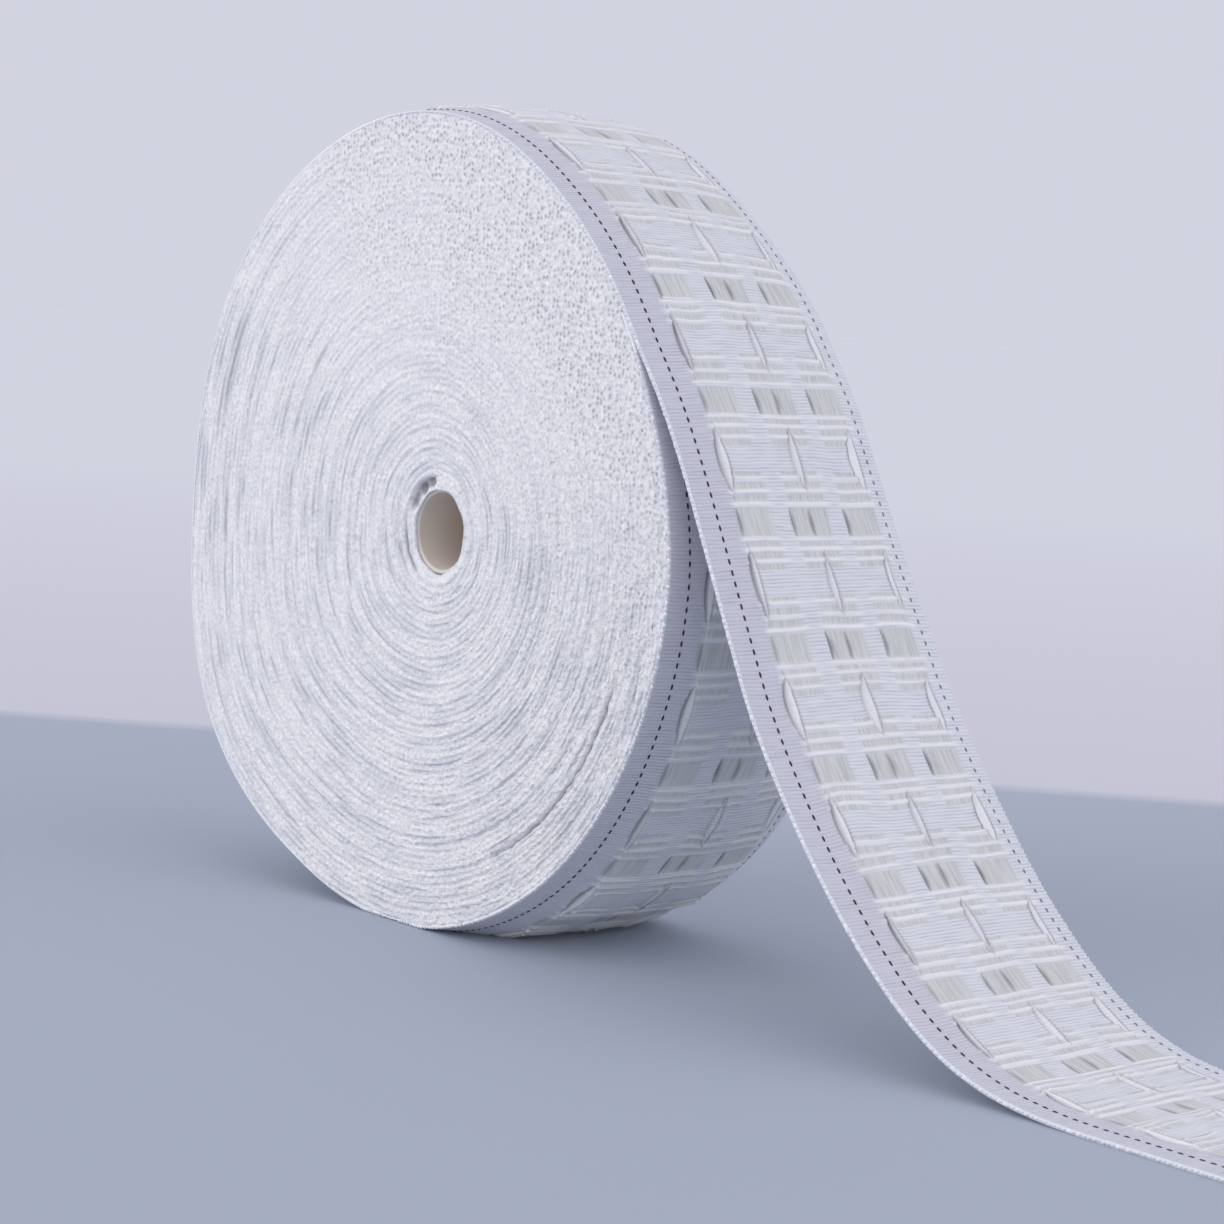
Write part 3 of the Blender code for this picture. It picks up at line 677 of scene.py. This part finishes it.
def looped_selvedge():
    """Selvedges edge on: white lumpy yarn with soft pits; painted shade in the pits, in grey streaks between
    turns, in bands across turns and where deep.
    """
    finish = new_finish("looped polyester selvedge")
    place = add(finish, "TexCoord")
    chart = add(finish, "UVMap", {"uv_map": "round_and_out"})
    centred = add(finish, "Mapping", {"Location": (-AXIS_X, 0, -AXIS_Z)},
                  {"Vector": place.outputs["Object"]})
    sides = add(finish, "SeparateXYZ", links={0: centred.outputs[0]})
    flat = add(finish, "CombineXYZ", links={0: sides.outputs["X"], 1: sides.outputs["Z"]})
    parts = add(finish, "SeparateXYZ", links={0: chart.outputs["UV"]})
    turn = add(finish, "Math", {"operation": "MULTIPLY", 1: 100.0}, {0: parts.outputs["Y"]})
    turn_angle = add(finish, "Math", {"operation": "MULTIPLY", 1: 2 * math.pi}, {0: turn.outputs[0]})
    ridge = add(finish, "Math", {"operation": "COSINE"}, {0: turn_angle.outputs[0]})
    valley = add(finish, "MapRange", {"From Min": 0.0, "From Max": 1.0}, {"Value": ridge.outputs[0]})

    # Soft pits between the loops, plainest towards the upper right, darkened with painted shade.
    pits = add(finish, "TexVoronoi", {"voronoi_dimensions": "2D", "Scale": 1 / PIT_PITCH, "Randomness": 0.85},
               {"Vector": flat.outputs[0]})
    pit_luck = add(finish, "SeparateColor", links={0: pits.outputs["Color"]})
    pit_round = add(finish, "MapRange", {"From Min": 0.50, "From Max": 0.06},
                    {"Value": pits.outputs["Distance"]})
    pit_deep = add(finish, "MapRange", {"From Min": 0.0, "From Max": 0.9, "To Min": 0.25, "To Max": 1.0},
                   {"Value": pit_luck.outputs[0]})
    pit = add(finish, "Math", {"operation": "MULTIPLY"}, {0: pit_round.outputs[0], 1: pit_deep.outputs[0]})
    patches = add(finish, "TexNoise", {"Scale": 32.0, "Detail": 2.0}, {"Vector": flat.outputs[0]})
    to_upper_right = add(finish, "VectorMath", {"operation": "DOT_PRODUCT", 1: (4.3, 5.8, 0)},
                         {0: flat.outputs[0]})
    lean = add(finish, "Math", {"operation": "ADD"},
               {0: to_upper_right.outputs["Value"], 1: patches.outputs["Fac"]})
    pitted = add(finish, "MapRange", {"From Min": 0.42, "From Max": 1.10, "To Min": 0.04, "To Max": 1.0},
                 {"Value": lean.outputs[0]})
    pit_share = add(finish, "Math", {"operation": "MULTIPLY"}, {0: pit.outputs[0], 1: pitted.outputs[0]})

    # Short and long grey streaks of painted shade in the valleys that follow the turns, where these have
    # parted.
    spread = add(finish, "Mapping", {"Scale": (520, 520, 0)}, {"Vector": flat.outputs[0]})
    outward = add(finish, "CombineXYZ", links={2: turn.outputs[0]})
    round_and_out = add(finish, "VectorMath", {"operation": "ADD"},
                        {0: spread.outputs[0], 1: outward.outputs[0]})
    lumps = add(finish, "TexNoise", {"Scale": 1.0, "Detail": 2.0}, {"Vector": round_and_out.outputs[0]})
    streaky = add(finish, "MapRange", {"From Min": 0.48, "From Max": 0.70, "To Min": 0.04, "To Max": 0.45},
                  {"Value": lumps.outputs["Fac"]})
    long_spread = add(finish, "Mapping", {"Scale": (48, 48, 0)}, {"Vector": flat.outputs[0]})
    long_round = add(finish, "VectorMath", {"operation": "ADD"},
                     {0: long_spread.outputs[0], 1: outward.outputs[0]})
    long_lumps = add(finish, "TexNoise", {"Scale": 1.0, "Detail": 1.0}, {"Vector": long_round.outputs[0]})
    long_streaks = add(finish, "MapRange", {"From Min": 0.5, "From Max": 0.66, "To Min": 0.05, "To Max": 0.5},
                       {"Value": long_lumps.outputs["Fac"]})
    marks = add(finish, "VertexColor", {"layer_name": "marks"})
    mark_parts = add(finish, "SeparateColor", links={0: marks.outputs["Color"]})
    streaks = add(finish, "Math", {"operation": "MAXIMUM"},
                  {0: streaky.outputs[0], 1: long_streaks.outputs[0]})
    all_streaks = add(finish, "Math", {"operation": "MAXIMUM"},
                      {0: streaks.outputs[0], 1: mark_parts.outputs[0]})
    in_valley = add(finish, "Math", {"operation": "MULTIPLY"},
                    {0: valley.outputs[0], 1: all_streaks.outputs[0]})
    painted_streak_shade = add(finish, "Math", {"operation": "MULTIPLY"},
                       {0: in_valley.outputs[0], 1: mark_parts.outputs[1]})

    # Grain of the yarns, painted shade where the face lies deep, as in the pits beside the hole, and the
    # colour from all of them.
    yarns = add(finish, "TexNoise", {"Scale": 1000.0, "Detail": 3.0}, {"Vector": place.outputs["Object"]})
    grain = add(finish, "MapRange", {"From Min": 0.35, "From Max": 0.62, "To Min": 0.26, "To Max": 0.0},
                {"Value": yarns.outputs["Fac"]})
    from_middle = add(finish, "Math", {"operation": "ABSOLUTE"}, {0: sides.outputs["Y"]})
    painted_depth_shade = add(finish, "MapRange", {"From Min": 36.9 * MM, "From Max": 36.0 * MM, "To Max": 0.8},
                    {"Value": from_middle.outputs[0]})
    painted_pit_shade = add(finish, "Math", {"operation": "MULTIPLY", 1: 0.72}, {0: pit_share.outputs[0]})
    shade = add(finish, "Math", {"operation": "MAXIMUM"},
                {0: painted_streak_shade.outputs[0], 1: painted_pit_shade.outputs[0]})
    all_shade = add(finish, "Math", {"operation": "MAXIMUM"}, {0: shade.outputs[0], 1: grain.outputs[0]})
    # Painted shade across whole turns in broad bands, in place of the shading of their relief, least at the
    # calm upper right.
    band_shade = add(finish, "MapRange", {"From Min": 0.42, "From Max": 0.62, "To Min": 0.0, "To Max": 0.7},
                     {"Value": long_lumps.outputs["Fac"]})
    band_share = add(finish, "Math", {"operation": "MULTIPLY"},
                     {0: band_shade.outputs[0], 1: mark_parts.outputs[1]})
    band_shaded = add(finish, "MixRGB", {1: linear("FBFAFA"), 2: linear("E2E3E9")}, {0: band_share.outputs[0]})
    faced = add(finish, "MixRGB", {2: linear("8C8D94")}, {0: all_shade.outputs[0], 1: band_shaded.outputs[0]})
    colour = add(finish, "MixRGB", {2: linear("85828A")}, {0: painted_depth_shade.outputs[0], 1: faced.outputs[0]})

    # Relief: lumpiest towards the lower right.
    to_lower_right = add(finish, "VectorMath", {"operation": "DOT_PRODUCT", 1: (5, -6, 0)},
                         {0: flat.outputs[0]})
    lumpy = add(finish, "MapRange", {"From Min": -0.4, "From Max": 0.8, "To Min": 1.1, "To Max": 4.0},
                {"Value": to_lower_right.outputs["Value"]})
    lump_height = add(finish, "Math", {"operation": "MULTIPLY"},
                      {0: lumps.outputs["Fac"], 1: lumpy.outputs[0]})
    fine_height = add(finish, "Math", {"operation": "MULTIPLY_ADD", 1: 0.9},
                      {0: yarns.outputs["Fac"], 2: lump_height.outputs[0]})
    sunk = add(finish, "Math", {"operation": "MULTIPLY_ADD", 1: -0.9},
               {0: pit_share.outputs[0], 2: fine_height.outputs[0]})
    bump = add(finish, "Bump", {"Strength": 0.8, "Distance": 0.45 * MM}, {"Height": sunk.outputs[0]})
    shader = finish.node_tree.nodes["Principled BSDF"]
    shader.inputs["Roughness"].default_value = 0.85
    shader.inputs["Sheen Weight"].default_value = 0.1
    finish.node_tree.links.new(colour.outputs[0], shader.inputs["Base Color"])
    finish.node_tree.links.new(bump.outputs[0], shader.inputs["Normal"])
    return finish


SELVEDGE = looped_selvedge()
front_turns = wound_face("front_turns", -1, 440, 3)
far_turns = wound_face("far_turns", 1, 230, 4)
for turns in (front_turns, far_turns):
    turns.data.materials.append(SELVEDGE)
    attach(turns, "root")
    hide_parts("roll")


# The edge loops and the dashed threads
# Along both edges of the outermost tape the weft turns back in slanted loops of yarn. A dark marker thread
# surfaces in short dashes beside the front edge, and a thinner one beside the far edge.

LOOP_PITCH = 1.5 * MM
DASH_PITCH = 3.18 * MM


def beads(name, places, share, height, size, slant, sides):
    """A row of small rounded beads of yarn along the tape, each turned to lie along it."""
    bead = bmesh.new()
    bmesh.ops.create_uvsphere(bead, u_segments=sides, v_segments=4, radius=0.5)
    bmesh.ops.rotate(bead, cent=(0, 0, 0), matrix=Matrix.Rotation(math.pi / 2, 3, "Y"), verts=bead.verts)
    corners = np.array([vertex.co for vertex in bead.verts])
    sides_of_bead = [[vertex.index for vertex in face.verts] for face in bead.faces]
    bead.free()
    turned = corners[None] * size[:, None]
    ahead_part = turned[..., 0] * math.cos(slant) - turned[..., 1] * math.sin(slant)
    side_part = turned[..., 0] * math.sin(slant) + turned[..., 1] * math.cos(slant)
    middle = on_tape(places, np.full(len(places), share), np.full(len(places), height))
    ahead = on_tape(places + 0.3 * MM, np.full(len(places), share), np.full(len(places), height)) - middle
    ahead = ahead / np.linalg.norm(ahead, axis=1, keepdims=True)
    across = np.array([0.0, 1.0, 0.0])
    up = np.cross(ahead, across)
    points = (middle[:, None] + ahead_part[..., None] * ahead[:, None] + side_part[..., None] * across
              + turned[..., 2:] * up[:, None])
    faces = [[corner + len(corners) * number for corner in face]
             for number in range(len(places)) for face in sides_of_bead]
    data = bpy.data.meshes.new(name)
    data.from_pydata(points.reshape(-1, 3).tolist(), [], faces)
    row_mesh = bmesh.new()
    row_mesh.from_mesh(data)
    bpy.data.meshes.remove(data)
    bmesh.ops.recalc_face_normals(row_mesh, faces=row_mesh.faces)
    return finished(name, row_mesh)


def yarn(name, hex_colour):
    """A twisted polyester yarn, matte."""
    finish = new_finish(name)
    place = add(finish, "TexCoord")
    fibres = add(finish, "TexNoise", {"Scale": 2500.0, "Detail": 2.0}, {"Vector": place.outputs["Object"]})
    bump = add(finish, "Bump", {"Strength": 0.5, "Distance": 0.1 * MM}, {"Height": fibres.outputs["Fac"]})
    shader = finish.node_tree.nodes["Principled BSDF"]
    shader.inputs["Base Color"].default_value = linear(hex_colour)
    shader.inputs["Roughness"].default_value = 0.8
    finish.node_tree.links.new(bump.outputs[0], shader.inputs["Normal"])
    return finish


# The loops are slanted, each with its own size. Round the back of the roll they are wound tight and flat.
loop_luck = np.random.default_rng(5)
EDGE_YARN = yarn("twisted white polyester yarn", "E8E9EF")
for name, share in (("front_edge_loops", 0.002), ("far_edge_loops", 0.998)):
    places = np.arange(ROLL_START + 25 * MM, TAPE_END, LOOP_PITCH)
    places = places + loop_luck.normal(0, 0.25 * MM, len(places))
    size = np.stack([loop_luck.uniform(1.4, 2.5, len(places)), loop_luck.uniform(0.7, 1.3, len(places)),
                     loop_luck.uniform(0.7, 1.3, len(places))], -1) * MM * (1.0 if share < 0.5 else 0.7)
    wound_flat = soft_step((AXIS_X - np.interp(places, ROUTE[0], ROUTE[1])) / 0.07)
    height = (-0.45 - 0.55 * wound_flat) * MM
    size = size * (1 - 0.6 * wound_flat)[:, None]
    loops = beads(name, places, share, height, size, math.radians(38 if share < 0.5 else -38), 6)
    loops.data.materials.append(EDGE_YARN)
    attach(loops, "root")

# The marker threads lie flush, dark beside the front edge and paler beside the far edge.
for name, share, hex_colour, long, wide in (("front_dashes", 0.09, "332E3C", 1.85, 0.80),
                                            ("far_dashes", 0.944, "83879A", 1.45, 0.80)):
    places = np.arange(ROLL_START + 25 * MM, TAPE_END - 2 * MM, DASH_PITCH)
    size = np.tile([long, wide, 0.42], (len(places), 1)) * MM
    dashes = beads(name, places, share, 0.02 * MM, size, 0, 8)
    dashes.data.materials.append(yarn("dyed polyester thread of " + name, hex_colour))
    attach(dashes, "root")


# The core
# A thin tube of pressed grey paperboard that the tape was wound on, cut a little short of the tape's width,
# with a paler cut rim.

CORE_RADIUS = 11.5 * MM
CORE_WALL = 1.2 * MM
CORE_LENGTH = 72.4 * MM


def paper_tube():
    """The tube's wall section, with softened rims, spun round the roll's axis."""
    tube = bmesh.new()
    half = CORE_LENGTH / 2
    soft = 0.3 * MM
    profile = ((0, soft - half), (soft, -half), (CORE_WALL - soft, -half), (CORE_WALL, soft - half),
               (CORE_WALL, half - soft), (CORE_WALL - soft, half), (soft, half), (0, half - soft))
    corners = [tube.verts.new((AXIS_X + CORE_RADIUS + out, y, AXIS_Z)) for out, y in profile]
    sides = [tube.edges.new((corners[i], corners[i - 1])) for i in range(len(corners))]
    bmesh.ops.spin(tube, geom=corners + sides, axis=(0, 1, 0), cent=(AXIS_X, 0, AXIS_Z), angle=2 * math.pi,
                   steps=96, use_merge=True)
    bmesh.ops.recalc_face_normals(tube, faces=tube.faces)
    return finished("paper_core", tube)


def pressed_paperboard():
    """Grey recycled board: matte and faintly mottled, paler where it is cut."""
    finish = new_finish("pressed paperboard")
    place = add(finish, "TexCoord")
    parts = add(finish, "SeparateXYZ", links={0: place.outputs["Object"]})
    pulp = add(finish, "TexNoise", {"Scale": 90.0, "Detail": 4.0}, {"Vector": place.outputs["Object"]})
    board = add(finish, "MixRGB", {1: linear("CBBFB3"), 2: linear("D4C9BE")}, {0: pulp.outputs["Fac"]})
    depth = add(finish, "Math", {"operation": "ABSOLUTE"}, {0: parts.outputs["Y"]})
    rim = add(finish, "MapRange",
              {"From Min": CORE_LENGTH / 2 - 0.8 * MM, "From Max": CORE_LENGTH / 2 - 0.3 * MM},
              {"Value": depth.outputs[0]})
    colour = add(finish, "MixRGB", {2: linear("DFDBD0")}, {0: rim.outputs[0], 1: board.outputs[0]})
    shader = finish.node_tree.nodes["Principled BSDF"]
    shader.inputs["Roughness"].default_value = 0.75
    finish.node_tree.links.new(colour.outputs[0], shader.inputs["Base Color"])
    return finish


core = paper_tube()
core.data.materials.append(pressed_paperboard())
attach(core, "root")
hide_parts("core")


# The floor
# A wide plain surface that the roll stands on, pale blue grey near it and paler behind it, as one smooth
# flat painted board that fades into the light of the room.

def pale_surface():
    """Matte paint: blue grey up to a soft line behind the roll, then slowly paler."""
    finish = new_finish("smooth painted board")
    place = add(finish, "TexCoord")
    parts = add(finish, "SeparateXYZ", links={0: place.outputs["Object"]})
    slope = add(finish, "Math", {"operation": "MULTIPLY_ADD", 1: -0.80},
                {0: parts.outputs["X"], 2: parts.outputs["Y"]})
    behind = add(finish, "MapRange", {"From Min": 0.405, "From Max": 0.435}, {"Value": slope.outputs[0]})
    far = add(finish, "MapRange", {"From Min": 0.42, "From Max": 2.6}, {"Value": slope.outputs[0]})
    pale = add(finish, "MixRGB", {1: linear("D4D2DA"), 2: linear("E0E1E5")}, {0: far.outputs[0]})
    colour = add(finish, "MixRGB", {1: linear("AFB7C4")}, {0: behind.outputs[0], 2: pale.outputs[0]})
    shader = finish.node_tree.nodes["Principled BSDF"]
    shader.inputs["Roughness"].default_value = 0.8
    shader.inputs["Specular IOR Level"].default_value = 0.3
    finish.node_tree.links.new(colour.outputs[0], shader.inputs["Base Color"])
    return finish


floor_mesh = bmesh.new()
bmesh.ops.create_grid(floor_mesh, x_segments=1, y_segments=1, size=20)
floor = finished("floor", floor_mesh)
floor.data.materials.append(pale_surface())


# Light and camera
# Two broad soft lights, one from the left in front and a weaker one from the right, and pale light all round.
# The camera stands to the right in front, a little above the roll's middle, as the photo's did.

def soft_light(name, towards, strength, softness, colour):
    """A far, broad light that shines along towards."""
    lamp = bpy.data.lights.new(name, "SUN")
    lamp.energy = strength
    lamp.angle = math.radians(softness)
    lamp.color = colour
    holder = bpy.data.objects.new(name, lamp)
    holder.rotation_mode = "QUATERNION"
    holder.rotation_quaternion = Vector(towards).to_track_quat("-Z", "Y")
    bpy.context.scene.collection.objects.link(holder)


soft_light("front_left", (0.55, 0.82, -0.18), 1.60, 60, (1.0, 0.985, 0.95))
soft_light("right", (-0.95, -0.12, -0.20), 1.05, 90, (1.0, 0.985, 0.95))

world = bpy.data.worlds.new("pale_room")
world.use_nodes = True
world.node_tree.nodes["Background"].inputs["Color"].default_value = linear("D2D3E0")
world.node_tree.nodes["Background"].inputs["Strength"].default_value = 1.0
bpy.context.scene.world = world
bpy.context.scene.view_settings.view_transform = "Standard"

CAMERA_PLACE = Vector((0.71938, -0.56551, 0.18757))
CAMERA_AZIMUTH = math.radians(49.963)
CAMERA_ELEVATION = math.radians(5.798)
CAMERA_ROLL = math.radians(2.581)
FOCAL_IN_IMAGES = 3003.2 / 1224

forward = Vector((-math.sin(CAMERA_AZIMUTH) * math.cos(CAMERA_ELEVATION),
                  math.cos(CAMERA_AZIMUTH) * math.cos(CAMERA_ELEVATION), -math.sin(CAMERA_ELEVATION)))
level = Vector((math.cos(CAMERA_AZIMUTH), math.sin(CAMERA_AZIMUTH), 0))
upright = level.cross(forward)
right = math.cos(CAMERA_ROLL) * level + math.sin(CAMERA_ROLL) * upright
up = -math.sin(CAMERA_ROLL) * level + math.cos(CAMERA_ROLL) * upright
lens = bpy.data.cameras.new("camera")
lens.sensor_width = 36
lens.lens = 36 * FOCAL_IN_IMAGES
lens.clip_start = 0.01
lens.clip_end = 100
camera = bpy.data.objects.new("camera", lens)
camera.matrix_world = Matrix.Translation(CAMERA_PLACE) @ Matrix((right, up, -forward)).transposed().to_4x4()
bpy.context.scene.collection.objects.link(camera)
bpy.context.scene.camera = camera
